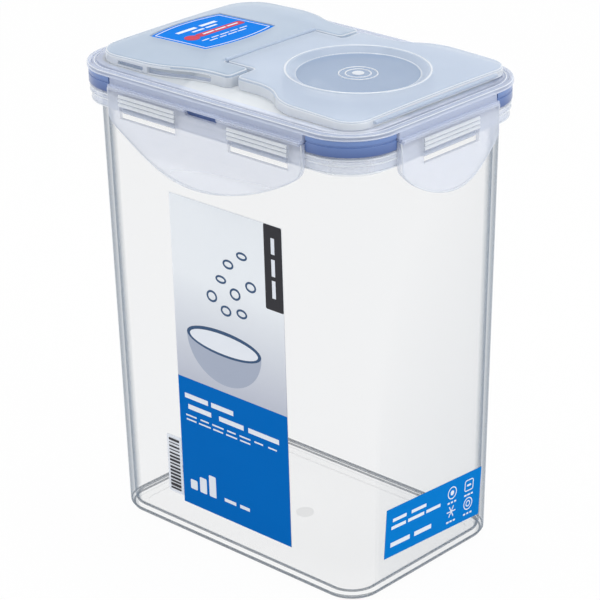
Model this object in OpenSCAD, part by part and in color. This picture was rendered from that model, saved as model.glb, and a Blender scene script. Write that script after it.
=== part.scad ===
// Cereal container with a four-latch lid and a flip spout.
// Millimetres. Origin at the middle of the base, +Z up, the length along X.
// The spout is at the +X half of the lid and the fixed cover at the -X half.

/* [Container] */
// Length of the container at its base
base_l = 126; // [110:1:150]
// Width of the container at its base
base_w = 83; // [72:1:100]
// Corner radius of the container at its base
base_r = 13; // [9:0.5:18]
// Length of the container under its rim
mouth_l = 133; // [126:1:160]
// Width of the container under its rim
mouth_w = 88.4; // [84:0.2:110]
// Corner radius of the container under its rim
mouth_r = 15; // [12:0.5:20]
// Height of the sloping walls, up to the rim
shoulder_h = 170; // [120:1:240]
// Thickness of the container's walls
wall = 1.8; // [1.2:0.1:2.4]
// Thickness of the container's floor
floor_t = 2; // [1.4:0.1:3]
// Rounding of the edge around the base
base_edge_r = 3; // [1.5:0.5:5]
// Width of the foot ring that the container stands on
foot_w = 7; // [4:0.5:10]
// Height of the foot ring
foot_h = 0.8; // [0.4:0.1:1]
// Radius of the moulding gate mark under the floor
gate_r = 3.4; // [2:0.1:5]

/* [Rim] */
// How far the rim stands out from the walls
rim_out = 4; // [3.4:0.1:5]
// Height of the rim's hanging skirt
rim_h = 6; // [5:0.1:6.5]
// Thickness of the rim and of its skirt
rim_t = 1.4; // [1:0.1:1.8]
// How far the lower half of the skirt lies in
rim_step = 0.5; // [0.3:0.1:0.7]
// Height of the lip that stands on the rim, inside the gasket
lip_h = 2.2; // [1.6:0.1:2.6]
// Half the thickness of the ribs that the latches lock on
rib_r = 0.9; // [0.7:0.05:1]
// How far the locking ribs reach out of the rim
rib_out = 1.8; // [1.4:0.1:2]
// Height of the middle of the locking ribs over the foot of the rim
rib_rise = 1.2; // [1:0.1:1.6]

/* [Lid] */
// How far the lid's edge stands out over the rim
lid_over = 1; // [0.6:0.1:1.5]
// Thickness of the lid's edge
edge_t = 1.6; // [1.2:0.1:2.2]
// Width of the lid's lower border
border_w = 3.7; // [2.5:0.1:4.6]
// Width of the round bead along the lid's edge
edge_bead_w = 1.9; // [1.6:0.1:2.4]
// Height of that bead over the lid's border
edge_bead_h = 0.35; // [0.2:0.05:0.6]
// Rounding of that bead
edge_bead_r = 0.8; // [0.4:0.1:0.9]
// Height of the lid's middle over its border
plateau_h = 0.7; // [0.4:0.1:1.2]
// Depth of the wall that plugs the mouth, below the lid's edge
plug_h = 10.2; // [6:0.2:14]
// Thickness of the wall that plugs the mouth
plug_t = 1.4; // [1:0.1:2]
// Gap between the plug wall and the container
plug_gap = 0.6; // [0.3:0.1:1]

/* [Gasket] */
// Height of the gasket between the rim and the lid
gasket_h = 6.1; // [5:0.1:8]
// How far the gasket lies in from the lid's edge
gasket_in = 0.5; // [0.4:0.1:1.2]
// How far the gasket lies in behind the latches
gasket_step = 1.9; // [1.7:0.1:2.4]
// Depth of the line around the gasket
gasket_line = 0.3; // [0.1:0.1:0.6]
// Gap between the gasket and the container's lip
gasket_gap = 0.3; // [0.2:0.05:0.5]

/* [Latches] */
// Width of the front and back latches
long_latch_w = 96; // [80:1:98]
// Width of the left and right latches
short_latch_w = 54; // [44:1:58]
// Thickness of a latch
latch_t = 1.5; // [1.2:0.1:1.8]
// How far a latch's face stands out from the lid's edge
latch_out = 1.2; // [1:0.1:1.6]
// Depth of the turned-in ends of a latch
latch_depth = 1.9; // [1.6:0.1:2]
// Height of a latch from its hinge down to its bend
latch_h = 14.5; // [13:0.5:16]
// Height of the long latches' pull tab below the bend
long_tab_h = 12.5; // [8:0.5:16]
// Height of the short latches' pull tab below the bend
short_tab_h = 9.5; // [7:0.5:12]
// Radius of the curve by which a pull tab sweeps outward
sweep_r = 20; // [17:1:40]
// Radius of the long tabs' round edge
long_tab_r = 82; // [70:1:110]
// Radius of the short tabs' round edge
short_tab_r = 34; // [30:1:45]
// Rounding where the tab's edge meets the long latches' ends
long_corner_r = 8; // [4:0.5:12]
// Rounding where the tab's edge meets the short latches' ends
short_corner_r = 5; // [3:0.5:8]
// Rounding of a latch's upright edges
latch_edge_r = 0.9; // [0.4:0.1:0.9]
// Length of a window in the long latches
long_window = 28.5; // [20:0.5:32]
// Length of the window in the short latches
short_window = 30; // [20:0.5:36]
// Distance between the two windows of a long latch
window_gap = 26; // [20:0.5:30]
// Room in a window at each end of a rib
window_room = 0.8; // [0.5:0.1:1.5]
// Room in a window under a rib
window_under = 2; // [1.9:0.1:2.4]
// Room in a window over a rib
window_over = 0.5; // [0.3:0.1:1]
// How far the grip ridges stand out
ridge_out = 0.5; // [0.3:0.1:0.6]
// Height of the lowest ridge's middle over the window
ridge_rise = 1; // [0.8:0.1:1.4]
// Number of grip ridges over each window
ridge_count = 3; // [1:1:3]
// Distance from one grip ridge to the next
ridge_pitch = 1.6; // [1.4:0.1:1.8]
// Radius of a grip ridge
ridge_r = 0.7; // [0.5:0.05:0.8]
// Width of the gap in the middle of the long latches' hinges
notch_w = 16; // [8:0.5:20]
// Depth of that gap in a latch's upper edge
notch_h = 1.7; // [1:0.1:2]
// Rounding at the foot of that gap
notch_r = 1.2; // [0.5:0.1:1.6]

/* [Hinges] */
// Radius of the latches' hinge beads
bead_r = 0.6; // [0.4:0.05:0.7]
// How much shorter than its latch a hinge is
hinge_short = 2; // [1:0.5:4]
// Gap around a hinge bead in its grooves
bead_gap = 0.05; // [0.02:0.01:0.1]
// Height of the latches' hinge line over the container's lip
hinge_rise = 0.8; // [0.6:0.1:1]
// Thickness of the lid's ledge that carries a latch's hinge
ledge_t = 1; // [0.8:0.1:1.4]
// Gap between the hinge ledge and the latch below it
ledge_gap = 0.2; // [0.1:0.05:0.3]

/* [Cover and flap] */
// Height of the crown's top over the lid's edge
crown_rise = 6.1; // [5.5:0.1:9]
// Radius of the crown over the cover and the flap
crown_r = 1400; // [900:50:2000]
// Thickness of the cover's and the flap's roof and walls
shell_t = 1.4; // [1:0.1:1.6]
// How far the cover's end and sides lie in from the lid's edge
cover_in = 7; // [6.8:0.1:9]
// How far the flap's end and sides lie in from the lid's edge
flap_in = 6; // [5.6:0.1:8]
// Corner radius of the cover's end
cover_r = 13; // [8:0.5:16]
// Corner radius of the flap's end
flap_r = 9; // [6:0.5:13]
// Width of the cover at its waist
cover_waist = 70.4; // [64:0.2:74]
// Width of the flap at its waist
flap_waist = 68; // [64:0.2:72]
// Where the cover starts to narrow, back from the middle
cover_narrow = 38; // [34:1:44]
// Length over which the cover narrows
cover_run = 32; // [26:1:33]
// Where the flap starts to narrow, forward from the middle
flap_narrow = 38; // [34:1:44]
// Length over which the flap narrows
flap_run = 26; // [22:1:30]
// How far back from the middle the cover's front lies
cover_back = 0.5; // [0:0.1:1]
// Gap between the cover's front and the flap's shoulder
shoulder_gap = 1.8; // [1.4:0.1:2.6]
// Width of the flap's tongue, which reaches back to its hinge
tongue_w = 47.2; // [40:0.2:52]
// Gap beside the tongue
tongue_gap = 0.5; // [0.3:0.1:1]
// How far back from the middle the flap's hinge lies
fold_back = 12.9; // [10:0.1:16]
// Length of the thin strip behind the fold
fold_strip = 3.2; // [2:0.2:4]
// Depth of the thin strip under the crown
fold_strip_h = 0.35; // [0.2:0.05:0.5]
// Gap between the cover and the flap at their hinge
fold_gap = 0.2; // [0.1:0.05:0.3]
// Gap under the flap, over the lid
flap_gap = 0.3; // [0.2:0.05:0.6]
// Rounding of the flap's shoulders
shoulder_r = 3; // [1.5:0.5:5]
// How far the flap's finger lip stands out
finger_out = 1.3; // [0.8:0.1:2]
// Thickness of the finger lip
finger_t = 1.1; // [0.8:0.1:1.3]
// Height of the finger lip's foot over the flap's
finger_rise = 1.1; // [0.8:0.1:2]
// Width of the finger lip
finger_w = 66; // [30:1:68]
// Length of the slot in each side of the cover
slot_l = 26; // [16:1:28]
// How far behind the cover's waist each slot ends
slot_back = 3; // [2:0.5:4]
// Height of each slot
slot_h = 3.2; // [2.4:0.1:3.4]
// Length of the small window behind each slot
peep_l = 13; // [8:1:14]
// Gap between each slot and the small window behind it
peep_gap = 2; // [1.5:0.5:3]
// Height of the small window's foot over the lid
peep_rise = 1; // [0.8:0.1:1.4]
// Height of the small window behind each slot
peep_h = 1.5; // [0.8:0.1:1.6]
// Height of the ridge on the lid that the cover sits around
ridge_h = 1; // [0.6:0.1:1.2]
// Gap between the cover's walls and that ridge
ridge_gap = 0.1; // [0.05:0.05:0.3]

/* [Spout] */
// Distance of the spout's middle from the lid's middle
spout_x = 29.5; // [26:0.5:32]
// Radius of the hole inside the spout's seal
spout_r = 23.7; // [20:0.1:24]
// Thickness of the seal inside the lid's hole
seal_t = 1.5; // [1:0.1:2]
// Width of the seal's flanges over and under the lid
seal_flange = 2; // [1:0.1:2.4]
// Thickness of the seal's flanges
seal_flange_t = 0.8; // [0.5:0.1:0.9]
// Gap between the flap's plug and the seal
stopper_gap = 0.3; // [0.2:0.05:0.5]
// Taper of the flap's plug at its foot
stopper_taper = 1; // [0.8:0.1:1.4]
// Depth of the flap's plug below the lid's middle
stopper_h = 3.6; // [3:0.1:5]
// Thickness of the flap's plug at its foot
stopper_t = 1.4; // [1:0.1:2]
// Radius of the press dish in the flap, at its rim
dish_r = 25.5; // [23:0.1:27]
// Radius of the press dish at its floor
dish_floor_r = 22; // [18:0.1:22.5]
// Depth of the press dish
dish_h = 2; // [1:0.1:2.2]

/* [Labels] */
// Thickness of a label
label_t = 0.2; // [0.1:0.05:0.3]
// Gap between a label and what it lies on
label_gap = 0.02; // [0.01:0.01:0.05]
// Width of the front label
front_label_w = 56; // [30:1:80]
// Height of the front label
front_label_h = 128; // [60:1:140]
// How far right of the middle the front label lies
front_label_x = 3.8; // [-10:0.2:10]
// Height of the front label's foot over the base
front_label_z = 14.4; // [8:0.2:30]
// Width of the side label
side_label_w = 55; // [30:1:60]
// Height of the side label
side_label_h = 20; // [10:0.5:30]
// How far the side label lies from the middle of its side
side_label_y = 2.2; // [-6:0.2:6]
// Height of the middle of the side label over the base
side_label_z = 22.3; // [18:0.1:60]
// Angle by which the side label is stuck on askew
side_label_turn = 3.4; // [-5:0.2:5]
// Length of the top label along its straight edges
top_label_l = 28.5; // [20:0.5:32]
// Width of the top label between its straight edges
top_label_w = 36.6; // [24:0.2:44]
// How far the top label's other edges bulge
top_label_bulge = 2.6; // [1:0.1:3]
// How far back from the middle the top label lies
top_label_x = 42.9; // [38:0.1:44]
// Depth of the recess that the top label lies in
top_recess = 0.5; // [0.4:0.1:0.7]
// Room around the top label in its recess
top_room = 0.5; // [0.2:0.1:1]

/* [Hidden] */
$fn = 96;
arc_steps = 14;
crown_fn = 2880;
hull_fn = 64;
eps = 0.01;
far = 400;

// The four sides, counted as place() turns them
FRONT = 0;
RIGHT = 1;
BACK = 2;
LEFT = 3;

// Heights, from the base up
rim_top = shoulder_h + rim_h;
lip_top = rim_top + lip_h;
hinge_z = lip_top + hinge_rise;
gasket_foot = rim_top + gasket_gap / 1.5;
edge_foot = gasket_foot + gasket_h;
edge_top = edge_foot + edge_t;
plateau_z = edge_top + plateau_h;
plug_foot = edge_foot - plug_h;
crown_z = edge_top + crown_rise;

// Outlines, as distances outward from the container's mouth
lid_off = rim_out + lid_over;
lid_l = mouth_l + 2 * lid_off;
lid_w = mouth_w + 2 * lid_off;
plug_off = -wall - plug_gap;
gasket_off = lid_off - gasket_in;

// Latches
long_pitch = (long_window + window_gap) / 2;
rib_z = shoulder_h + rib_rise;
window_foot = rib_z - rib_r - window_under;
window_top = rib_z + rib_r + window_over;
latch_top = hinge_z - ledge_gap / 2;
ledge_foot = hinge_z + ledge_gap / 2;
bend_z = hinge_z - latch_h;

// Cover, flap and spout
fold_z = crown_z - fold_back * fold_back / (2 * crown_r);
notch_half = tongue_w / 2 + tongue_gap;
cover_front = -cover_back;
flap_rear = cover_front + shoulder_gap;
flap_foot = plateau_z + flap_gap;
hole_r = spout_r + seal_t;
stopper_r = spout_r - stopper_gap;
stopper_foot = plateau_z - stopper_h;
dish_rim_drop = dish_r * dish_r / (2 * crown_r);
dish_slope = (dish_r - dish_floor_r) / dish_h;

// Lean of the container's sloping walls
front_lean = atan((mouth_w - base_w) / 2 / (shoulder_h - base_edge_r));
side_lean = atan((mouth_l - base_l) / 2 / (shoulder_h - base_edge_r));

function side_edge(side) = (side % 2 == 0 ? lid_w : lid_l) / 2;
function side_run(side) = (side % 2 == 0 ? lid_l : lid_w) - 2 * (mouth_r + lid_off);
function side_width(side) = side % 2 == 0 ? long_latch_w : short_latch_w;
function side_tab_h(side) = side % 2 == 0 ? long_tab_h : short_tab_h;
function side_tab_r(side) = side % 2 == 0 ? long_tab_r : short_tab_r;
function side_corner_r(side) = side % 2 == 0 ? long_corner_r : short_corner_r;
function side_window(side) = side % 2 == 0 ? long_window : short_window;
function side_windows(side) = side % 2 == 0 ? [-long_pitch, long_pitch] : [0];

// ---- Shapes that several pieces share ----

// Rectangle with round corners
module round_rect(l, w, r) {
  square([l - 2 * r, w], center = true);
  square([l, w - 2 * r], center = true);
  for (x = [-1, 1], y = [-1, 1])
    translate([x * (l / 2 - r), y * (w / 2 - r)])
      circle(r);
}

// The mouth's outline, moved outward by off
module mouth_shape(off) {
  round_rect(mouth_l + 2 * off, mouth_w + 2 * off, mouth_r + off);
}

// A ring that follows the mouth, from z0 to z1
module mouth_ring(out, in, z0, z1) {
  translate([0, 0, z0])
    linear_extrude(z1 - z0)
      difference() {
        mouth_shape(out);
        mouth_shape(in);
      }
}

// Sweeps a section along the lid's edge: its x points outward and its y up
module along_edge() {
  r = mouth_r + lid_off;
  for (side = [FRONT, RIGHT, BACK, LEFT]) {
    run = side_run(side);
    rotate([0, 0, 90 * side]) {
      translate([-run / 2, -side_edge(side), 0])
        rotate([90, 0, 90])
          linear_extrude(run)
            mirror([1, 0, 0])
              children();
      translate([run / 2, r - side_edge(side), 0])
        rotate([0, 0, -90])
          rotate_extrude(angle = 90)
            translate([r, 0])
              children();
    }
  }
}

// Puts a piece on one side of the lid: x runs along the side and -y points outward
module place(side) {
  rotate([0, 0, 90 * side])
    translate([0, -side_edge(side), 0])
      children();
}

// Round bar along x
module bar_x(r, l) {
  rotate([0, 90, 0])
    cylinder(r = r, h = l, center = true);
}

// Space below the crown and over the lid, at a depth under the crown's surface
module under_crown(depth) {
  translate([0, 0, crown_z - crown_r])
    rotate_extrude()
      intersection() {
        circle(crown_r - depth, $fn = crown_fn);
        translate([0, crown_r - crown_rise - 1])
          square([far / 2, 2 * crown_rise]);
      }
}

// Puts a shape square to the crown, at a distance x from the middle
module on_crown(x) {
  translate([0, 0, crown_z - crown_r])
    rotate([0, asin(x / crown_r), 0])
      translate([0, 0, crown_r])
        children();
}

// Points along an arc
function arc(mid, r, a0, a1) = [
  for (i = [0 : arc_steps])
    let (a = a0 + (a1 - a0) * i / arc_steps)
      mid + r * [cos(a), sin(a)]
];

// Half of an outline, drawn g inside itself: a round end that narrows by two equal arcs
function narrowing(x_end, end_r, x_wide, run, y_wide, y_waist, g) =
  let (
    drop = y_wide - y_waist,
    arc_r = (run * run + drop * drop) / (4 * drop),
    turn = asin(run / (2 * arc_r))
  )
  concat(
    arc([x_end - end_r, y_wide - end_r], end_r - g, 0, 90),
    arc([x_wide, y_wide - arc_r], arc_r - g, 90, 90 + turn),
    arc([x_wide - run, y_waist + arc_r], arc_r + g, turn - 90, -90)
  );

// An outline made of one half and its mirror image
module both_halves(half, flip = [1, -1]) {
  other = [for (i = [len(half) - 1 : -1 : 0]) [half[i].x * flip.x, half[i].y * flip.y]];
  polygon(concat(half, other));
}

// The cover's outline, drawn g inside itself, with a notch for the flap's tongue
module cover_shape(g) {
  mirror([1, 0, 0])
    both_halves(concat(
      narrowing(
        lid_l / 2 - cover_in, cover_r, cover_narrow, cover_run,
        lid_w / 2 - cover_in, cover_waist / 2, g
      ),
      [
        [g - cover_front, cover_waist / 2 - g],
        [g - cover_front, notch_half + g],
        [g + fold_back + fold_gap / 2, notch_half + g]
      ]
    ));
}

// The flap's outline, drawn g inside itself, with its tongue
module flap_shape(g) {
  both_halves(concat(
    narrowing(
      lid_l / 2 - flap_in, flap_r, flap_narrow, flap_run,
      lid_w / 2 - flap_in, flap_waist / 2, g
    ),
    arc([flap_rear + shoulder_r, flap_waist / 2 - shoulder_r], shoulder_r - g, 90, 180),
    [
      [flap_rear + g, tongue_w / 2 - g],
      [g - fold_back + fold_gap / 2, tongue_w / 2 - g]
    ]
  ));
}

// The top label's outline: two straight edges and two that bulge, with room around it
module top_label_shape(room) {
  h = top_label_l / 2 + top_label_bulge;
  y = top_label_w / 2;
  arc_r = (y * y + top_label_bulge * top_label_bulge) / (2 * top_label_bulge);
  intersection_for(m = [0, 1])
    mirror([m, 0, 0])
      intersection() {
        translate([h - arc_r, 0])
          circle(arc_r + room, $fn = 2 * $fn);
        square([far, top_label_w + 2 * room], center = true);
      }
}

// ---- Container ----

// Sloping block with round corners and a round edge at its foot, as a hull
module sloping_block(l0, w0, r0, l1, w1, r1, z0, z1, edge) {
  hull()
    for (x = [-1, 1], y = [-1, 1]) {
      translate([x * (l0 / 2 - r0), y * (w0 / 2 - r0), z0 + edge])
        intersection() {
          rotate_extrude($fn = hull_fn)
            translate([r0 - edge, 0])
              intersection() {
                circle(edge, $fn = hull_fn / 2);
                translate([0, -edge])
                  square(2 * edge);
              }
          cube([far, far, 2 * edge], center = true);
        }
      translate([x * (l1 / 2 - r1), y * (w1 / 2 - r1), z1 - eps])
        cylinder(r = r1, h = eps, $fn = hull_fn);
    }
}

// Slope of the inside from the floor up, so that the walls keep their thickness
floor_share = floor_t / shoulder_h;
inner_l = base_l + (mouth_l - base_l) * floor_share - 2 * wall;
inner_w = base_w + (mouth_w - base_w) * floor_share - 2 * wall;

module locking_ribs(side) {
  place(side)
    for (x = side_windows(side))
      translate([x, lid_over - rib_out + rib_r, rib_z]) {
        bar_x(rib_r, side_window(side) - 2 * window_room);
        translate([0, (rib_out - rib_r) / 2 + rim_t / 4, 0])
          cube(
            [side_window(side) - 2 * window_room, rib_out - rib_r + rim_t / 2, 2 * rib_r],
            center = true
          );
      }
}

module container() {
  color([0.86, 0.88, 0.88, 0.5]) {
    difference() {
      union() {
        sloping_block(
          base_l, base_w, base_r, mouth_l, mouth_w, mouth_r, 0, shoulder_h, base_edge_r
        );
        mouth_ring(0, -wall, shoulder_h - eps, lip_top);
        mouth_ring(rim_out, -wall, rim_top - rim_t, rim_top);
        mouth_ring(rim_out, rim_out - rim_t, rim_top - rim_h / 2, rim_top);
        mouth_ring(rim_out - rim_step, rim_out - rim_t, shoulder_h, rim_top);
      }
      sloping_block(
        inner_l, inner_w, base_r - wall, mouth_l - 2 * wall, mouth_w - 2 * wall,
        mouth_r - wall, floor_t, shoulder_h + 2 * eps, base_edge_r
      );
      // The floor stands on a foot ring and is hollow under its middle
      translate([0, 0, -eps])
        linear_extrude(foot_h + eps)
          round_rect(base_l - 2 * foot_w, base_w - 2 * foot_w, base_r - foot_w / 2);
    }
    translate([0, 0, foot_h / 2])
      cylinder(r = gate_r, h = foot_h);
    for (side = [FRONT, RIGHT, BACK, LEFT])
      locking_ribs(side);
  }
}

// ---- Lid ----

// Section of the bead along the lid's edge, from the edge inward
module edge_section() {
  top = edge_t + edge_bead_h;
  r = edge_bead_r;
  translate([-edge_bead_w, 0])
    square([edge_bead_w, top - r]);
  translate([r - edge_bead_w, 0])
    square([edge_bead_w - 2 * r, top]);
  for (x = [r - edge_bead_w, -r])
    translate([x, top - r])
      circle(r);
}

// Ledge on one side of the lid, and the lip behind it, that carry a latch's hinge
module hinge_ledge(side) {
  l = side_width(side) - hinge_short / 2;
  place(side)
    difference() {
      union() {
        translate([-l / 2, -latch_out, ledge_foot])
          cube([l, latch_out + gasket_step - 0.1, ledge_t]);
        translate([-l / 2, 0, ledge_foot])
          cube([l, gasket_step - 0.1, edge_foot - ledge_foot + eps]);
      }
      translate([0, -latch_out, hinge_z])
        bar_x(bead_r + bead_gap, l + 1);
      if (side % 2 == 0)
        translate([-notch_w / 2, -far / 2, hinge_z - 1])
          cube([notch_w, far, ledge_t + 1 + ledge_gap / 2]);
    }
}

module lid() {
  color([0.78, 0.84, 0.92, 0.8]) {
    difference() {
      union() {
        translate([0, 0, edge_foot])
          linear_extrude(edge_t)
            mouth_shape(lid_off - edge_bead_w / 2);
        translate([0, 0, edge_foot])
          along_edge()
            edge_section();
        translate([0, 0, edge_foot])
          linear_extrude(plateau_z - edge_foot)
            mouth_shape(lid_off - border_w);
      }
      translate([spout_x, 0, edge_foot - 1])
        cylinder(r = hole_r, h = far);
    }
    mouth_ring(plug_off, plug_off - plug_t, plug_foot, edge_foot + eps);
    translate([0, 0, plateau_z - eps])
      linear_extrude(ridge_h + eps)
        difference() {
          cover_shape(shell_t + ridge_gap);
          cover_shape(shell_t + ridge_gap + 1);
        }
    for (side = [FRONT, RIGHT, BACK, LEFT])
      hinge_ledge(side);
  }
}

module lid_gasket() {
  line_z = gasket_foot + gasket_h * 0.65;
  color([0.25, 0.36, 0.65])
    difference() {
      mouth_ring(gasket_off, plug_off + 0.1, gasket_foot, edge_foot);
      mouth_ring(gasket_gap, plug_off - 1, gasket_foot - 1, lip_top + gasket_gap);
      mouth_ring(gasket_off + 1, gasket_off - gasket_line, line_z, line_z + 0.4);
      for (side = [FRONT, RIGHT, BACK, LEFT])
        place(side)
          translate([-side_width(side) / 2 - 0.5, -1, gasket_foot - 1])
            cube([side_width(side) + 1, 1 + gasket_step, far]);
    }
}

module spout_seal() {
  color([0.12, 0.2, 0.42])
    translate([spout_x, 0, 0])
      difference() {
        union() {
          translate([0, 0, edge_foot - seal_flange_t])
            cylinder(r = hole_r, h = plateau_z - edge_foot + 2 * seal_flange_t);
          for (z = [edge_foot - seal_flange_t, plateau_z])
            translate([0, 0, z])
              cylinder(r = hole_r + seal_flange, h = seal_flange_t);
        }
        translate([0, 0, edge_foot - seal_flange_t - 1])
          cylinder(r = spout_r, h = far);
      }
}

// ---- Cover and flap ----

module rear_cover() {
  slot_x = cover_run - cover_narrow - slot_back - slot_l;
  color([0.78, 0.84, 0.92, 0.8])
    difference() {
      intersection() {
        translate([0, 0, plateau_z])
          linear_extrude(far)
            cover_shape(0);
        under_crown(0);
      }
      // The hollow inside
      intersection() {
        translate([0, 0, plateau_z - 1])
          linear_extrude(far)
            cover_shape(shell_t);
        under_crown(shell_t);
      }
      // The slot in each side, open at its foot, and the small window behind it
      for (m = [0, 1])
        mirror([0, m, 0]) {
          translate([slot_x, cover_waist / 2 - 3 * shell_t, plateau_z - eps])
            cube([slot_l, far, slot_h]);
          translate([slot_x - peep_gap - peep_l, cover_waist / 2, plateau_z + peep_rise])
            cube([peep_l, far, peep_h]);
        }
      // The recess for the top label
      difference() {
        translate([-top_label_x, 0, plateau_z])
          linear_extrude(far)
            top_label_shape(top_room);
        under_crown(top_recess);
      }
      // The thin strip behind the fold
      difference() {
        translate([-fold_back - 2 * bead_r - fold_strip, -notch_half, plateau_z])
          cube([fold_strip, 2 * notch_half, far]);
        under_crown(fold_strip_h);
      }
      translate([-fold_back, 0, fold_z])
        rotate([0, 0, 90])
          bar_x(bead_r + bead_gap, 2 * notch_half);
    }
}

module flap_hinge() {
  color([0.82, 0.87, 0.94])
    translate([-fold_back, 0, fold_z])
      rotate([0, 0, 90])
        bar_x(bead_r, tongue_w);
}

module flap() {
  dish_foot = -dish_rim_drop - dish_h;
  color([0.78, 0.84, 0.92, 0.8])
    difference() {
      union() {
        difference() {
          intersection() {
            translate([0, 0, flap_foot])
              linear_extrude(far)
                flap_shape(0);
            under_crown(0);
          }
          intersection() {
            translate([0, 0, flap_foot - 1])
              linear_extrude(far)
                flap_shape(shell_t);
            under_crown(shell_t);
          }
        }
        // The dish's underside
        on_crown(spout_x)
          translate([0, 0, dish_foot - shell_t])
            cylinder(
              r1 = dish_floor_r + 0.4, r2 = dish_r + 1,
              h = shell_t + dish_h - 0.8
            );
        // The plug that enters the spout's seal
        translate([spout_x, 0, stopper_foot])
          difference() {
            union() {
              cylinder(r1 = stopper_r - stopper_taper, r2 = stopper_r, h = stopper_h);
              translate([0, 0, stopper_h])
                cylinder(r = stopper_r, h = crown_z - plateau_z - dish_h - shell_t / 2);
            }
            translate([0, 0, -eps])
              cylinder(r = stopper_r - stopper_taper - stopper_t, h = far);
          }
        // The finger lip
        translate([lid_l / 2 - flap_in - shell_t / 2, -finger_w / 2, flap_foot + finger_rise])
          cube([finger_out + shell_t / 2, finger_w, finger_t]);
      }
      on_crown(spout_x)
        translate([0, 0, dish_foot])
          cylinder(r1 = dish_floor_r, r2 = dish_floor_r + 3 * dish_slope, h = 3);
      translate([-fold_back, 0, fold_z])
        rotate([0, 0, 90])
          bar_x(bead_r + bead_gap, tongue_w + 1);
    }
}

// ---- Latches and their hinges ----

// A latch seen from above: a plate with turned-in ends
module latch_plan(w) {
  r = latch_edge_r;
  difference() {
    union() {
      translate([-w / 2, r - latch_out])
        square([w, latch_depth - r]);
      translate([-w / 2 + r, -latch_out])
        square([w - 2 * r, r + eps]);
      for (x = [-1, 1])
        translate([x * (w / 2 - r), r - latch_out])
          circle(r);
    }
    translate([-w / 2 + latch_t, latch_t - latch_out])
      square([w - 2 * latch_t, far]);
  }
}

// A latch's shape seen from outside, through all its thickness: straight ends, a round foot
module latch_block(side) {
  w = side_width(side);
  r = side_tab_r(side);
  c = side_corner_r(side);
  mid = [0, bend_z - side_tab_h(side) + r];
  corner = mid + [w / 2 - c, -sqrt(pow(r - c, 2) - pow(w / 2 - c, 2))];
  turn = atan2(corner.y - mid.y, corner.x);
  translate([0, far / 2, 0])
    rotate([90, 0, 0])
      linear_extrude(far)
        both_halves(concat(
          [[w / 2, latch_top]],
          arc(corner, c, 0, turn),
          arc(mid, r, turn, -90)
        ), [-1, 1]);
}

module latch(side) {
  w = side_width(side);
  place(side)
    difference() {
      union() {
        intersection() {
          union() {
            translate([0, 0, bend_z])
              linear_extrude(latch_top - bend_z)
                latch_plan(w);
            // The pull tab, swept outward
            translate([0, -latch_out - sweep_r, bend_z])
              difference() {
                bar_x(sweep_r + latch_t, w);
                bar_x(sweep_r, w + 2);
                translate([-w / 2 - 1, -far / 2, 0])
                  cube([w + 2, far, far]);
                translate([-w / 2 - 1, -far, -far / 2])
                  cube([w + 2, far, far]);
              }
          }
          latch_block(side);
        }
        for (x = side_windows(side), i = [0 : ridge_count - 1])
          translate([x, ridge_r - latch_out - ridge_out, window_top + ridge_rise + i * ridge_pitch])
            bar_x(ridge_r, side_window(side));
      }
      for (x = side_windows(side))
        translate([x - side_window(side) / 2, -latch_out - 1, window_foot])
          cube([side_window(side), latch_t + 2, window_top - window_foot]);
      translate([0, -latch_out, hinge_z])
        bar_x(bead_r + bead_gap, w + 1);
      if (side % 2 == 0)
        latch_notch();
    }
}

// The gap in the middle of a long latch's upper edge
module latch_notch() {
  foot = latch_top - notch_h;
  translate([0, far / 2, 0])
    rotate([90, 0, 0])
      linear_extrude(far) {
        translate([-notch_w / 2, foot + notch_r])
          square([notch_w, far]);
        translate([-notch_w / 2 + notch_r, foot])
          square([notch_w - 2 * notch_r, far]);
        for (x = [-1, 1])
          translate([x * (notch_w / 2 - notch_r), foot + notch_r])
            circle(notch_r);
      }
}

// A latch's hinge bead, in two lengths where the latch has its gap
module latch_hinge(side) {
  l = side_width(side) - hinge_short;
  color([0.82, 0.87, 0.94])
    place(side)
      translate([0, -latch_out, hinge_z])
        if (side % 2 == 0) {
          piece = (l - notch_w) / 2;
          for (x = [-1, 1])
            translate([x * (notch_w + piece) / 2, 0, 0])
              bar_x(bead_r, piece);
        } else {
          bar_x(bead_r, l);
        }
}

module front_hinge() { latch_hinge(FRONT); }
module right_hinge() { latch_hinge(RIGHT); }
module back_hinge() { latch_hinge(BACK); }
module left_hinge() { latch_hinge(LEFT); }

module front_latch() { color([0.84, 0.85, 0.92, 0.7]) latch(FRONT); }
module right_latch() { color([0.84, 0.85, 0.92, 0.7]) latch(RIGHT); }
module back_latch() { color([0.84, 0.85, 0.92, 0.7]) latch(BACK); }
module left_latch() { color([0.84, 0.85, 0.92, 0.7]) latch(LEFT); }

// ---- Labels ----

module front_label() {
  color([0.85, 0.87, 0.9])
    translate([front_label_x, -base_w / 2, base_edge_r])
      rotate([front_lean, 0, 0])
        translate([-front_label_w / 2, -label_gap - label_t, front_label_z - base_edge_r])
          cube([front_label_w, label_t, front_label_h]);
}

module side_label() {
  color([0.05, 0.4, 0.8])
    translate([base_l / 2, side_label_y, base_edge_r])
      rotate([0, side_lean, 0])
        translate([label_gap + label_t / 2, 0, side_label_z - base_edge_r])
          rotate([-side_label_turn, 0, 0])
            cube([label_t, side_label_w, side_label_h], center = true);
}

module top_label() {
  color([0.1, 0.5, 0.9])
    intersection() {
      translate([-top_label_x, 0, plateau_z])
        linear_extrude(far)
          top_label_shape(0);
      difference() {
        under_crown(top_recess - label_gap - label_t);
        under_crown(top_recess - label_gap);
      }
    }
}

container();
lid();
lid_gasket();
spout_seal();
rear_cover();
flap_hinge();
flap();
front_hinge();
right_hinge();
back_hinge();
left_hinge();
front_latch();
right_latch();
back_latch();
left_latch();
front_label();
side_label();
top_label();
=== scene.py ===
import math

import bmesh
import bpy
from mathutils import Matrix, Vector
from mathutils.geometry import convex_hull_2d


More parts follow.
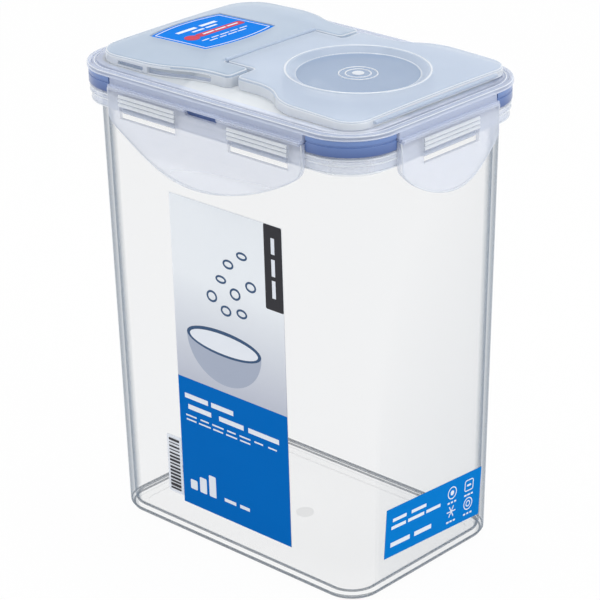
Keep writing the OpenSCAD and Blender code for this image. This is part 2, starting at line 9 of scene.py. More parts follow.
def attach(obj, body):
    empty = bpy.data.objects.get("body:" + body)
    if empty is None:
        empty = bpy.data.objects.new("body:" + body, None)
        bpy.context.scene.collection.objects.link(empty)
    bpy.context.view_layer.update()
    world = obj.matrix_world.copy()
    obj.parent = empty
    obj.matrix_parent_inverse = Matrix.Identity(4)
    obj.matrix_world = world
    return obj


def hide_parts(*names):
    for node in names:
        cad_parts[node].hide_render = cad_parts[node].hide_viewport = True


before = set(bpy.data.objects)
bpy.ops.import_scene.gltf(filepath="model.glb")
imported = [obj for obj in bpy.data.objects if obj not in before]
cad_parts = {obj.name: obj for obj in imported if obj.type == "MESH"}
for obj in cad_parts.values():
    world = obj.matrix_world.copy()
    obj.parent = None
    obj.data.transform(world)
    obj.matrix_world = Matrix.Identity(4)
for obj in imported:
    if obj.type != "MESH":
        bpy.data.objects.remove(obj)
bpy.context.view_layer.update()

mm = 0.001


# materials

def addNode(tree, kind, inputs=None, **settings):
    # a node with its settings, and its inputs set or linked by name or number
    node = tree.nodes.new(kind)
    for key, value in settings.items():
        setattr(node, key, value)
    for key, value in (inputs or {}).items():
        if isinstance(value, bpy.types.NodeSocket):
            tree.links.new(value, node.inputs[key])
        else:
            node.inputs[key].default_value = value
    return node


def noise(tree, coords, scale, detail=3.0):
    return addNode(tree, "ShaderNodeTexNoise", {
        "Scale": scale, "Detail": detail, "Vector": coords}).outputs["Fac"]


def spread(tree, value, low, high, start=0.0, end=1.0):
    return addNode(tree, "ShaderNodeMapRange", {
        "From Min": start, "From Max": end, "To Min": low, "To Max": high,
        "Value": value}).outputs["Result"]


def colourMix(tree, factor, *colours):
    first, second = ((*c, 1.0) if isinstance(c, tuple) else c for c in colours)
    return addNode(tree, "ShaderNodeMix", {
        6: first, 7: second, "Factor": factor}, data_type="RGBA").outputs[2]


shading = {
    "ior": 1.49, "coatRoughness": 0.08, "bumpDistance": 0.0002,
    "smoothest": 0.85, "roughest": 1.2}  # the last two are shares of a look's roughness
usual = {
    "cloudScale": 60.0, "edgeBlend": 0.3, "facing": 0.0, "grainScale": 900.0,
    "specular": 0.5, "coat": 0.0}  # where a look doesn't say otherwise


def plastic(name, look):
    look = {**usual, **look}
    material = bpy.data.materials.new(name)
    material.use_nodes = True
    tree = material.node_tree
    shader = tree.nodes["Principled BSDF"]
    coords = addNode(tree, "ShaderNodeTexCoord").outputs["Object"]
    cloud = noise(tree, coords, look["cloudScale"])
    colour = colourMix(tree, cloud, look["colour"], look["shade"])
    if "fade" in look:
        # another colour from one height to another
        axes = addNode(tree, "ShaderNodeSeparateXYZ", {0: coords})
        height = spread(tree, axes.outputs["Z"], 0.0, 1.0, *look["fadeFrom"])
        colour = colourMix(tree, height, look["fade"], colour)
    tree.links.new(colour, shader.inputs["Base Color"])
    if "edgeAlpha" in look:
        # clear plastic hides more where it is seen along its surface
        rim = addNode(tree, "ShaderNodeLayerWeight", {"Blend": look["edgeBlend"]})
        alpha = spread(
            tree, rim.outputs["Facing"], look["alpha"], look["edgeAlpha"], look["facing"])
        tree.links.new(alpha, shader.inputs["Alpha"])
    grain = noise(tree, coords, look["grainScale"], 2.0)
    low, high = (look["roughness"] * shading[key] for key in ("smoothest", "roughest"))
    tree.links.new(spread(tree, grain, low, high), shader.inputs["Roughness"])
    bump = addNode(tree, "ShaderNodeBump", {
        "Strength": look["grain"], "Distance": shading["bumpDistance"], "Height": grain})
    tree.links.new(bump.outputs["Normal"], shader.inputs["Normal"])
    for key, value in (
            ("IOR", shading["ior"]), ("Specular IOR Level", look["specular"]),
            ("Coat Weight", look["coat"]), ("Coat Roughness", shading["coatRoughness"])):
        shader.inputs[key].default_value = value
    return material


bluePaint = {"cloudScale": 30.0, "specular": 0.02, "roughness": 0.5, "grain": 0.05}
paint = {"specular": 0.2, "roughness": 0.4, "grain": 0.04}
frosted = {
    "cloudScale": 34.0, "edgeAlpha": 0.92, "roughness": 0.3,
    "grainScale": 1500.0, "grain": 0.3, "coat": 0.3}
looks = {
    "clearBody": {
        "colour": (0.13, 0.20, 0.29), "shade": (0.17, 0.24, 0.32), "cloudScale": 9.0,
        "alpha": 0.035, "edgeAlpha": 0.95, "edgeBlend": 0.5, "facing": 0.41,
        "roughness": 0.14, "grainScale": 260.0, "grain": 0.03, "specular": 0.25},
    # dark grey for lines along the container's foot: painted shade where the wall rounds into the
    # floor
    "edgeGrey": {
        "colour": (0.24, 0.28, 0.33), "shade": (0.30, 0.34, 0.39), "cloudScale": 30.0,
        "alpha": 0.38, "edgeAlpha": 0.7,
        "roughness": 0.2, "grainScale": 600.0, "grain": 0.03, "specular": 0.3},
    # a paler, bluer copy of the clear plastic for the rim: painted reflection of the gasket, and
    # painted light over the shade behind the latches
    "clearRim": {
        "colour": (0.68, 0.74, 0.87), "shade": (0.64, 0.71, 0.86), "cloudScale": 40.0,
        "alpha": 0.32, "edgeAlpha": 0.88, "edgeBlend": 0.4, "facing": 0.12,
        "roughness": 0.12, "grainScale": 600.0, "grain": 0.03, "coat": 0.5},
    "clearFloor": {
        "colour": (0.60, 0.62, 0.63), "shade": (0.66, 0.67, 0.67), "cloudScale": 9.0,
        "alpha": 0.07, "edgeAlpha": 0.5, "edgeBlend": 0.2, "facing": 0.3,
        "roughness": 0.2, "grainScale": 260.0, "grain": 0.03},
    "frostedLid": {
        **frosted, "colour": (0.50, 0.60, 0.76), "shade": (0.62, 0.72, 0.87), "alpha": 0.40},
    "frostedCover": {
        **frosted, "colour": (0.42, 0.53, 0.68), "shade": (0.54, 0.65, 0.79), "alpha": 0.42},
    # a paler copy of the frosted plastic for the upright skirts: painted light
    "skirtPlastic": {
        "colour": (0.88, 0.92, 0.97), "shade": (0.84, 0.89, 0.96), "cloudScale": 40.0,
        "alpha": 0.55, "edgeAlpha": 0.85, "roughness": 0.14, "grain": 0.06, "coat": 0.5},
    "lidEdge": {
        "colour": (0.74, 0.81, 0.98), "shade": (0.69, 0.77, 0.97), "cloudScale": 40.0,
        "alpha": 0.42, "edgeAlpha": 0.85, "facing": 0.1,
        "roughness": 0.13, "grain": 0.06, "coat": 0.5},
    # a paler copy of the lid's plastic for its raised middle: painted light
    "lidMiddle": {
        "colour": (0.84, 0.89, 0.93), "shade": (0.88, 0.92, 0.95), "cloudScale": 20.0,
        "alpha": 0.48, "edgeAlpha": 0.7, "facing": 0.3,
        "roughness": 0.2, "grain": 0.06, "coat": 0.3},
    "latchPlastic": {
        "colour": (0.75, 0.80, 0.92), "shade": (0.71, 0.77, 0.91),
        "alpha": 0.23, "edgeAlpha": 0.9, "facing": 0.05,
        "roughness": 0.16, "grain": 0.08, "coat": 0.5},
    "blueSeal": {
        "colour": (0.12, 0.21, 0.48), "shade": (0.14, 0.24, 0.52),
        # darker towards the gasket's foot: painted shade
        "fade": (0.05, 0.105, 0.31), "fadeFrom": (0.1765, 0.1815),
        "roughness": 0.3, "grainScale": 700.0, "grain": 0.06, "coat": 0.4},
    # pale plastic for the raised marks and grip ridges, and for the lines that paint highlights
    # along edges
    "brightEdge": {
        "colour": (0.90, 0.94, 0.98), "shade": (0.86, 0.91, 0.98), "alpha": 0.6, "edgeAlpha": 0.92,
        "roughness": 0.12, "grain": 0.05, "coat": 0.5},
    "darkSeal": {
        "colour": (0.03, 0.06, 0.19), "shade": (0.04, 0.075, 0.22),
        "roughness": 0.4, "grainScale": 700.0, "grain": 0.08},
    "palePaper": {
        "colour": (0.84, 0.88, 0.93), "shade": (0.87, 0.91, 0.95), "cloudScale": 16.0,
        "fade": (0.47, 0.50, 0.60), "fadeFrom": (0.062, 0.112), "specular": 0.1,
        "roughness": 0.4, "grain": 0.05},
    "bluePrint": {"colour": (0.0, 0.135, 0.50), "shade": (0.0, 0.145, 0.53), **bluePaint},
    "sideBluePrint": {"colour": (0.0, 0.19, 0.60), "shade": (0.0, 0.20, 0.63), **bluePaint},
    "brightBluePrint": {"colour": (0.0, 0.19, 0.74), "shade": (0.0, 0.21, 0.78), **bluePaint},
    "whitePrint": {**paint, "colour": (0.82, 0.86, 0.92), "shade": (0.78, 0.82, 0.90)},
    "blackPrint": {**paint, "colour": (0.018, 0.018, 0.024), "shade": (0.026, 0.026, 0.032)},
    "greyPrint": {
        **paint, "colour": (0.36, 0.41, 0.53), "shade": (0.42, 0.47, 0.58), "cloudScale": 25.0},
    "navyPrint": {
        **paint, "colour": (0.03, 0.075, 0.17), "shade": (0.045, 0.10, 0.20), "cloudScale": 40.0},
    "redPrint": {
        **paint, "colour": (0.60, 0.012, 0.06), "shade": (0.55, 0.01, 0.05), "specular": 0.15},
    "dishBlue": {
        "colour": (0.17, 0.27, 0.45), "shade": (0.34, 0.45, 0.62), "cloudScale": 16.0,
        "alpha": 0.74, "edgeAlpha": 0.95,
        "roughness": 0.22, "grainScale": 1200.0, "grain": 0.15, "coat": 0.3},
}
finish = {name: plastic(name, look) for name, look in looks.items()}
print("materials made")


# shapes that several pieces share, in millimetres

lidHalf = (49.2, 71.5)  # from the middle to the lid's edge at its long and its short sides
lidOver = 5  # how far the lid's edge lies outside the container's mouth
spoutMid = (29.5, 0)
crown = {"top": 190, "radius": 1400}  # the dome that the cover and the flap share


def roundRect(l, w, r, steps=16, cuts=5):
    # an outline with round corners, and points along its straights
    points = []
    for k, (sx, sy) in enumerate(((1, 1), (-1, 1), (-1, -1), (1, -1))):
        for i in range(steps + 1):
            a = math.radians(90 * k + 90 * i / steps)
            points.append((
                sx * (l / 2 - r) + r * math.cos(a), sy * (w / 2 - r) + r * math.sin(a)))
    out = []
    for i, p in enumerate(points):
        out.append(p)
        if i % (steps + 1) == steps:
            q = points[(i + 1) % len(points)]
            for c in range(1, cuts + 1):
                t = c / (cuts + 1)
                out.append((p[0] + (q[0] - p[0]) * t, p[1] + (q[1] - p[1]) * t))
    return out


def arc(mid, r, start, end, steps=14):
    return [
        (mid[0] + r * math.cos(math.radians(start + (end - start) * i / steps)),
         mid[1] + r * math.sin(math.radians(start + (end - start) * i / steps)))
        for i in range(steps + 1)]


def rounded(corners, steps=4, closed=False):
    # a section's corners, each (out, up) or (out, up, radius), with their arcs
    points, n = [], len(corners)
    for i, corner in enumerate(corners):
        p = Vector(corner[:2])
        r = corner[2] if len(corner) > 2 else 0
        if r == 0 or (not closed and i in (0, n - 1)):
            points.append(tuple(p))
            continue
        before = (Vector(corners[i - 1][:2]) - p).normalized()
        after = (Vector(corners[(i + 1) % n][:2]) - p).normalized()
        half = before.angle(after) / 2
        mid = p + (before + after).normalized() * (r / math.sin(half))
        reach = r / math.tan(half)
        a, b = p + before * reach - mid, p + after * reach - mid
        sweep = a.angle_signed(b)
        for k in range(steps + 1):
            turn = -sweep * k / steps
            points.append((
                mid.x + a.x * math.cos(turn) - a.y * math.sin(turn),
                mid.y + a.x * math.sin(turn) + a.y * math.cos(turn)))
    return points


def loft(mesh, rings, closed=False, rowLooks=None):
    # closed joins the last ring to the first; otherwise both ends get a cap
    rows = [[mesh.verts.new(p) for p in ring] for ring in rings]
    n = len(rows[0])
    pairs = list(zip(rows, rows[1:]))
    if closed:
        pairs.append((rows[-1], rows[0]))
    for k, (low, high) in enumerate(pairs):
        for i in range(n):
            j = (i + 1) % n
            face = mesh.faces.new((low[i], low[j], high[j], high[i]))
            face.material_index = rowLooks[k] if rowLooks else 0
    if not closed:
        first = mesh.faces.new(list(reversed(rows[0])))
        last = mesh.faces.new(rows[-1])
        if rowLooks:
            first.material_index, last.material_index = rowLooks[0], rowLooks[-1]


def spacing(outline, longest=3.0):
    # how many pieces each stretch of an outline is cut into
    return [
        max(1, math.ceil(math.dist(p, outline[(i + 1) % len(outline)]) / longest))
        for i, p in enumerate(outline)]


def evenly(outline, counts):
    out = []
    for i, (p, n) in enumerate(zip(outline, counts)):
        q = outline[(i + 1) % len(outline)]
        out += [(p[0] + (q[0] - p[0]) * k / n, p[1] + (q[1] - p[1]) * k / n) for k in range(n)]
    return out


def level(points, z):
    return [(x, y, z) for x, y in points]


def cut(mesh, step):
    # evenly spaced cross lines, so that a flat face can follow the crown
    for axis in range(2):
        values = [v.co[axis] for v in mesh.verts]
        at = math.ceil(min(values) / step + 0.01) * step
        while at < max(values):
            place, normal = [0, 0, 0], [0, 0, 0]
            place[axis], normal[axis] = at, 1
            bmesh.ops.bisect_plane(
                mesh, geom=mesh.verts[:] + mesh.edges[:] + mesh.faces[:], dist=1e-4,
                plane_co=place, plane_no=normal)
            at += step


def crownZ(x, y):
    return crown["top"] - (x * x + y * y) / (2 * crown["radius"])


def underCrown(x, y, z, foot):
    # a height of the flat section, moved to where the dome puts it
    return foot + (z - foot) * (crownZ(x, y) - foot) / (crown["top"] - foot)


def crowned(mesh, foot):
    for v in mesh.verts:
        if v.co.z > foot:
            v.co.z = underCrown(*v.co, foot)


def finished(name, mesh, materials, sharp=40.0):
    # millimetres to metres, doubles merged, normals outward, smooth but for sharp edges
    bmesh.ops.remove_doubles(mesh, verts=mesh.verts, dist=1e-4)
    bmesh.ops.recalc_face_normals(mesh, faces=mesh.faces)
    bmesh.ops.scale(mesh, vec=(mm, mm, mm), verts=mesh.verts)
    data = bpy.data.meshes.new(name)
    mesh.to_mesh(data)
    mesh.free()
    piece = bpy.data.objects.new(name, data)
    bpy.context.scene.collection.objects.link(piece)
    for material in materials:
        data.materials.append(finish[material])
    data.shade_smooth()
    data.set_sharp_from_angle(angle=math.radians(sharp))
    weigh = piece.modifiers.new("weigh", "WEIGHTED_NORMAL")
    weigh.keep_sharp = True
    return piece


def seated(piece, body, slotName, *nodes):
    if nodes:
        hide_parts(*nodes)
    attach(piece, body)
    print(piece.name, len(piece.data.polygons))


def bar(mesh, mid, size, r, look=0, steps=3):
    # a block along the longest of its sides, with the edges that run along it rounded
    spans = list(size)
    along = spans.index(max(spans))
    across = [k for k in range(3) if k != along]
    section = rounded([
        (sx * spans[across[0]] / 2, sy * spans[across[1]] / 2, r)
        for sx, sy in ((1, 1), (-1, 1), (-1, -1), (1, -1))], steps, True)
    rings = []
    half = spans[along] / 2
    for at, share in ((-half, 0.8), (-half + r * 0.4, 1), (half - r * 0.4, 1), (half, 0.8)):
        ring = []
        for u, v in section:
            p = [0, 0, 0]
            p[along] = mid[along] + at
            p[across[0]] = mid[across[0]] + u * share
            p[across[1]] = mid[across[1]] + v * share
            ring.append(tuple(p))
        rings.append(ring)
    loft(mesh, rings, rowLooks=[look] * len(rings))


def onSide(side, x, y, z):
    # x along a side of the lid, y inward from its edge; side 0 is the front, 1 the right
    turn = math.radians(90 * side)
    y -= lidHalf[side % 2]
    return (x * math.cos(turn) - y * math.sin(turn), x * math.sin(turn) + y * math.cos(turn), z)


def sideBar(mesh, side, x, y, z, l, depth, h, r, look=0):
    mid = onSide(side, x, y, z)
    size = (l, depth, h) if side % 2 == 0 else (depth, l, h)
    bar(mesh, mid, size, r, look)


# container

tub = {
    # length, width and corner radius at the foot and at the mouth, then both their heights
    "base": (126, 83, 13), "mouth": (133, 88.4, 15), "edge": 3, "shoulder": 170,
    # out from the wall, up, and how far the corner there is rounded
    "section": [
        (-7.6, 0.8), (-7, 0.8), (-7, 0, 0.25), (0, 0, 3), (0, 168), (0, 174.6, 0.4),
        (2.6, 174.6, 0.3), (2.6, 170, 0.3), (3.5, 170, 0.35), (3.5, 173, 0.15), (4, 173, 0.3),
        (4, 176, 0.6), (0, 176, 0.3), (0, 178.2, 0.7), (-1.8, 178.2, 0.7), (-1.8, 2, 3), (-7, 2)],
    "floorInside": -3.5, "rimFoot": 167.9, "rimOutside": -1.5,
    "ribLength": {0: 26.9, 1: 28.4}, "ribAt": {0: (-27.25, 27.25), 1: (0,)}, "ribHeight": 171.2,
    # inward, shorter by, thickness and edge radius of each rib and of its root
    "ribBars": ((0.1, 0, 1.8, 0.85), (0.9, 0.4, 1.6, 0.1)),
    "gate": ((3.1, 0.4), (3.4, 0.6), (3.4, 1.3))}


def tubRing(out, z):
    share = (z - tub["edge"]) / (tub["shoulder"] - tub["edge"])
    share = min(max(share, 0), 1)
    l, w, r = (a + (b - a) * share for a, b in zip(tub["base"], tub["mouth"]))
    return level(roundRect(l + 2 * out, w + 2 * out, r + out), z)


def tubLook(out, z):
    # 0 for the walls, 1 for the floor, 2 for the rim, which is paler and bluer: a painted
    # reflection of the blue gasket and painted light over the shade behind the latches
    if out < tub["floorInside"] and z < tub["edge"]:
        return 1
    return 2 if z > tub["rimFoot"] and out > tub["rimOutside"] else 0


section = rounded(tub["section"], 5)
mesh = bmesh.new()
loft(
    mesh, [tubRing(out, z) for out, z in section],
    rowLooks=[tubLook(out, z) for out, z in section])
loft(mesh, [level(arc((0, 0), r, 0, 345, 23), z) for r, z in tub["gate"]], rowLooks=[1, 1])
for side in range(4):
    l = tub["ribLength"][side % 2]
    for x in tub["ribAt"][side % 2]:
        for inward, shorter, thick, r in tub["ribBars"]:
            sideBar(
                mesh, side, x, inward, tub["ribHeight"], l - shorter, thick, thick, r, 2)
seated(
    finished("container_shell", mesh, ["clearBody", "clearFloor", "clearRim"]),
    "container", "clear_plastic", "container")


# lid

def mouthRing(out, z):
    l, w, r = tub["mouth"]
    return level(roundRect(l + 2 * out, w + 2 * out, r + out), z)


def aroundHole(outline, r, z):
    # a circle round the spout, whose points face those of an outline around it
    ring = []
    for p in outline:
        d = (Vector(p[:2]) - Vector(spoutMid)).normalized()
        ring.append((spoutMid[0] + r * d.x, spoutMid[1] + r * d.y, z))
    return ring


lid = {
    "holeRadius": 25.2, "foot": 182.3, "middle": 184.6,
    "section": [
        (-3.8, 182.3), (-3.8, 172.1, 0.4), (-2.4, 172.1, 0.4), (-2.4, 182.3),
        (5, 182.3, 0.3), (5, 184.25, 0.85), (3.1, 184.25, 0.55), (3.1, 183.86, 0.12),
        (2.45, 183.86, 0.12), (2.45, 184.1, 0.1), (1.95, 184.1, 0.1), (1.95, 183.9, 0.1),
        (1.3, 183.9, 0.2), (1.3, 184.6, 0.45), (-1, 184.6)],
    "ledge": {0: 95, 1: 53},
    # inward, up, depth, height and edge radius of the bars that carry the latches' hinges
    "ledgeBars": ((0.3, 179.6, 3.0, 1.0, 0.3), (0.95, 180.9, 1.7, 3.4, 0.2)),
    # inside the cover's outline and up, round the rib that carries the cover
    "coverRib": ((1.5, 184.5), (1.5, 185.6), (2.5, 185.6), (2.5, 184.5))}
mesh = bmesh.new()
rings = [mouthRing(out, z) for out, z in rounded(lid["section"], 4)]
rings.append(aroundHole(rings[-1], lid["holeRadius"], lid["middle"]))
rings.append(aroundHole(rings[-1], lid["holeRadius"], lid["foot"]))
# the last rings are the raised middle and the spout's hole, in a paler copy of the lid's plastic:
# painted light
loft(mesh, rings, closed=True, rowLooks=[int(k > len(rings) - 4) for k in range(len(rings))])
for side in range(4):
    for inward, z, depth, h, r in lid["ledgeBars"]:
        sideBar(mesh, side, 0, inward, z, lid["ledge"][side % 2], depth, h, r)


def narrowing(end, endRadius, wide, run, yWide, yWaist, g):
    # from an end's corner over the widest place down to the waist, drawn g inside itself
    drop = yWide - yWaist
    r = (run * run + drop * drop) / (4 * drop)
    turn = math.degrees(math.asin(run / (2 * r)))
    return (
        arc((end - endRadius, yWide - endRadius), endRadius - g, 0, 90)
        + arc((wide, yWide - r), r - g, 90, 90 + turn, 10)
        + arc((wide - run, yWaist + r), r + g, turn - 90, -90, 10))


def corner(x, y, r, g, sx, sy, start, end):
    # an outer corner drawn g inside itself; sx and sy point inward
    tight = max(r - g, 0.05)
    return arc((x + sx * (g + tight), y + sy * (g + tight)), tight, start, end, 5)


def bothHalves(half, flip=1):
    return [(flip * x, y) for x, y in half] + [(flip * x, -y) for x, y in reversed(half)]


def skirted(mesh, top, out, look):
    # upright faces below a height and away from the spout's middle take another look: a paler copy
    # of the frosted plastic, painted light on the skirts
    mesh.normal_update()
    for face in mesh.faces:
        mid = face.calc_center_median()
        if abs(face.normal.z) < 0.6 and mid.z < top and math.dist(mid[:2], spoutMid) > out:
            face.material_index = look


cover = {
    "narrowing": (64.5, 13, 38, 32, 42.2, 35.2),
    "shoulder": (0.5, 35.2, 2.2), "armFoot": (0.5, 24.1, 2.2), "pocket": ((12.2, 23.3), 0.8),
    "foot": 184.6, "roll": 1.7, "skirtTop": 188.3, "cuts": 6,
    "slot": ((-35, -9), 188.2), "peep": ((-50, -37), 185.7, 187.5),
    "labelBed": (0.5, 189.5, 193)}  # room round the top label, and the bed's two heights
flap = {
    "narrowing": (65.5, 9, 38, 26, 43.2, 34),
    "shoulder": (1.3, 34, 3), "neck": ((-0.2, 25.1), 1.5), "tongue": (-12.8, 23.6, 1.2),
    "foot": 184.9, "roll": 1.7, "skirtTop": 188.3, "skirtFrom": 29,
    "lip": {"mid": (65.75, 0, 186.55), "size": (2.0, 66, 1.1), "edge": 0.5}}


def coverOutline(g):
    neckMid, neckRadius = cover["pocket"]
    return bothHalves(
        narrowing(*cover["narrowing"], g)
        + corner(*cover["shoulder"], g, 1, -1, 90, 180)
        + corner(*cover["armFoot"], g, 1, 1, 180, 270)
        + arc(neckMid, neckRadius + g, 90, 0, 5), -1)


def flapOutline(g):
    neckMid, neckRadius = flap["neck"]
    return bothHalves(
        narrowing(*flap["narrowing"], g)
        + corner(*flap["shoulder"], g, 1, -1, 90, 180)
        + arc(neckMid, neckRadius + g, 0, -90, 5)
        + corner(*flap["tongue"], g, 1, -1, 90, 180))


loft(mesh, [level(coverOutline(g), z) for g, z in lid["coverRib"]], closed=True)
seated(finished("lid_plate", mesh, ["lidEdge", "lidMiddle"]), "lid", "frosted_lid", "lid")


# gasket between the lid and the container

gasket = {
    "outer": 4.5, "behindLatch": 3.1, "halfStep": {0: 48.5, 1: 27.5},
    "straight": {0: 51.5, 1: 29.2},  # from a side's middle to where its corner begins
    "section": [
        (0, 176.2, 0.6), (0, 179.75, 0.2), (-0.35, 179.95, 0.1), (-0.35, 180.35, 0.1),
        (0, 180.55, 0.2), (0, 182.3, 0.3), (-6.8, 182.3), (-6.8, 178.5), (-4.2, 178.5),
        (-4.2, 176.2, 0.3)]}


def gasketRing(out, z):
    off = gasket["outer"] + out
    tucked = min(off, gasket["behindLatch"])
    ring = []
    for side in range(4):
        half = gasket["halfStep"][side % 2]
        for x, o in ((-half, off), (-half, tucked), (half, tucked), (half, off)):
            ring.append(onSide(side, x, lidOver - o, z))
        r = tub["mouth"][2]
        for x, dy in arc((gasket["straight"][side % 2], 0), r + off, -90, 0, 16):
            ring.append(onSide(side, x, lidOver + r + dy, z))
    return ring


mesh = bmesh.new()
loft(mesh, [gasketRing(out, z) for out, z in rounded(gasket["section"], 4, True)], closed=True)
seated(finished("lid_seal_band", mesh, ["blueSeal"]), "lid", "blue_seal", "lid_gasket")


# seal in the spout

spoutSeal = [
    (23.7, 181.5, 0.3), (27.2, 181.5, 0.3), (27.2, 182.3, 0.1), (25.2, 182.3), (25.2, 184.6),
    (27.2, 184.6, 0.1), (27.2, 185.4, 0.35), (23.7, 185.4, 0.35)]
mesh = bmesh.new()
around = arc(spoutMid, 1, 0, 355, 71)
loft(mesh, [aroundHole(around, r, z) for r, z in rounded(spoutSeal, 4, True)], closed=True)
seated(finished("spout_seal_ring", mesh, ["darkSeal"]), "lid", "dark_seal", "spout_seal")


# cover

def carved(name, mesh, tools):
    # the mesh with the space of the tools taken out of it
    data = bpy.data.meshes.new(name)
    bmesh.ops.recalc_face_normals(mesh, faces=mesh.faces)
    mesh.to_mesh(data)
    mesh.free()
    bmesh.ops.recalc_face_normals(tools, faces=tools.faces)
    toolData = bpy.data.meshes.new(name + "Tools")
    tools.to_mesh(toolData)
    tools.free()
    blank = bpy.data.objects.new(name, data)
    tool = bpy.data.objects.new(name + "Tools", toolData)
    for piece in (blank, tool):
        bpy.context.scene.collection.objects.link(piece)
    carve = blank.modifiers.new("carve", "BOOLEAN")
    carve.operation, carve.solver, carve.object = "DIFFERENCE", "EXACT", tool
    result = bpy.data.meshes.new_from_object(
        blank.evaluated_get(bpy.context.evaluated_depsgraph_get()))
    for piece in (blank, tool):
        bpy.data.objects.remove(piece)
    mesh = bmesh.new()
    mesh.from_mesh(result)
    return mesh


topLabel = {"middle": -42.9, "length": 28.5, "width": 36.6, "bulge": 2.6, "sunk": 0.28}


def labelOutline(room):
    # the top label's outline, with room around it
    x, l, w, bulge = (topLabel[key] for key in ("middle", "length", "width", "bulge"))
    half = w / 2 + room
    r = (w * w / 4 + bulge * bulge) / (2 * bulge)
    turn = math.degrees(math.asin(half / (r + room)))
    reach = l / 2 + bulge - r
    return arc((x + reach, 0), r + room, -turn, turn, 20) + arc(
        (x - reach, 0), r + room, 180 - turn, 180 + turn, 20)


section = rounded([
    (1.7, crown["top"]), (0, crown["top"], cover["roll"]), (0, cover["foot"], 0.25),
    (1.4, cover["foot"], 0.25), (1.4, 188.5, 0.8), (2.2, 188.5)], 6)
mesh = bmesh.new()
loft(mesh, [level(coverOutline(g), z) for g, z in section])
tools = bmesh.new()
for m in (-1, 1):
    (x0, x1), top = cover["slot"]
    slot = rounded([(x0, 183, 0), (x1, 183, 0), (x1, top, 1.4), (x0, top, 0.6)], 5, True)
    loft(tools, [[(x, m * y, z) for x, z in slot] for y in (31, 50)])
    (x0, x1), low, top = cover["peep"]
    peep = rounded([(x0, low, 0.5), (x1, low, 0.5), (x1, top, 0.5), (x0, top, 0.5)], 4, True)
    loft(tools, [[(x, m * y, z) for x, z in peep] for y in (38, 50)])
room, *heights = cover["labelBed"]
loft(tools, [level(labelOutline(room), z) for z in heights])
mesh = carved("cover", mesh, tools)
cut(mesh, cover["cuts"])
crowned(mesh, cover["foot"])
skirted(mesh, cover["skirtTop"], 0, 1)
seated(
    finished("fixed_cover", mesh, ["frostedCover", "skirtPlastic"]),
    "lid", "frosted_lid", "rear_cover")


# flap with its press dish and plug

flapCuts = spacing(flapOutline(0))
outerRim = evenly(flapOutline(0), flapCuts)


def flapRing(g, z):
    return level(evenly(flapOutline(g), flapCuts), z)


def dishRing(r, z):
    return aroundHole(outerRim, r, z)


def between(ringA, ringB, shares):
    return [[tuple(Vector(p).lerp(Vector(q), t)) for p, q in zip(ringA, ringB)] for t in shares]


# radius and height, or distance inside the outline and height, before the flap is crowned
top, under, dishFloor = crown["top"], 188.6, 188
dish = rounded([
    (2, dishFloor), (22, dishFloor, 0.9), (25, top + 0.1, 0.5), (26.3, top + 0.2, 0.35),
    (26.9, top, 0.3), (29, top)], 4)
plug = rounded([
    (28, under), (26.4, under), (24.2, 187.4), (23.4, 187.2), (23.4, 184.6, 0.4),
    (22.4, 181, 0.4), (21, 181, 0.4), (21, 186.6), (2, 186.6)], 4)
rim = rounded([
    (1.7, top), (0, top, flap["roll"]), (0, flap["foot"], 0.3), (1.4, flap["foot"], 0.3),
    (1.4, under, 0.8), (2.4, under)], 6)
dishRings = [dishRing(r, z) for r, z in dish]
rimRings = [flapRing(g, z) for g, z in rim]
plugRings = [dishRing(r, z) for r, z in plug]
shares = (0.25, 0.5, 0.75)
rings = (
    [dishRing(r, dishFloor) for r in (2, 9, 16)] + dishRings[1:]
    + between(dishRings[-1], rimRings[0], shares) + rimRings
    + between(rimRings[-1], plugRings[0], shares) + plugRings)
inDish = [int(k < 6) for k in range(len(rings))]  # the dish's floor and its foot
mesh = bmesh.new()
loft(mesh, rings, rowLooks=inDish)
crowned(mesh, flap["foot"])
skirted(mesh, flap["skirtTop"], flap["skirtFrom"], 2)
lip = flap["lip"]
bar(mesh, lip["mid"], lip["size"], lip["edge"])
seated(
    finished("spout_flap", mesh, ["frostedLid", "dishBlue", "skirtPlastic"]),
    "flap", "frosted_lid", "flap")


# latches: the node's own surface, with its edges rounded

latch = {
    "roundness": 0.25, "cornerAngle": 38.0, "segments": 2, "sharpFrom": 50.0,
    # the painted highlight line round it: inside its edge, sunk into its face, and half its
    # thickness
    "lineInset": 0.4, "lineSunk": 0.27, "lineRadius": 0.24}


def softened(node, material):
    mesh = bmesh.new()
    mesh.from_mesh(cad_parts[node].data)
    bmesh.ops.remove_doubles(mesh, verts=mesh.verts, dist=2e-6)
    bmesh.ops.dissolve_limit(
        mesh, angle_limit=math.radians(0.6), verts=mesh.verts, edges=mesh.edges)
    sharp = [
        e for e in mesh.edges
        if len(e.link_faces) == 2
        and e.calc_face_angle(0.0) > math.radians(latch["cornerAngle"])]
    bmesh.ops.bevel(
        mesh, geom=sharp, offset=latch["roundness"] * mm, offset_type="OFFSET",
        segments=latch["segments"], profile=0.5, affect="EDGES", clamp_overlap=True)
    bmesh.ops.scale(mesh, vec=(1 / mm, 1 / mm, 1 / mm), verts=mesh.verts)
    return finished(node + "_soft", mesh, [material], latch["sharpFrom"])


sides = ("front", "right", "back", "left")
for side in sides:
    node = side + "_latch"
    seated(softened(node, "latchPlastic"), side + "_wing", "latch_plastic", node)

plain = {
    "flap_hinge": "frostedLid", "front_hinge": "latchPlastic", "right_hinge": "latchPlastic",
    "back_hinge": "latchPlastic", "left_hinge": "latchPlastic",
    "front_label": "palePaper", "side_label": "sideBluePrint", "top_label": "brightBluePrint",
}
for node, look in plain.items():
    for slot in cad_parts[node].material_slots:
        slot.material = finish[look]
print("hinges and labels coloured")


# rows and lines, made by Geometry Nodes

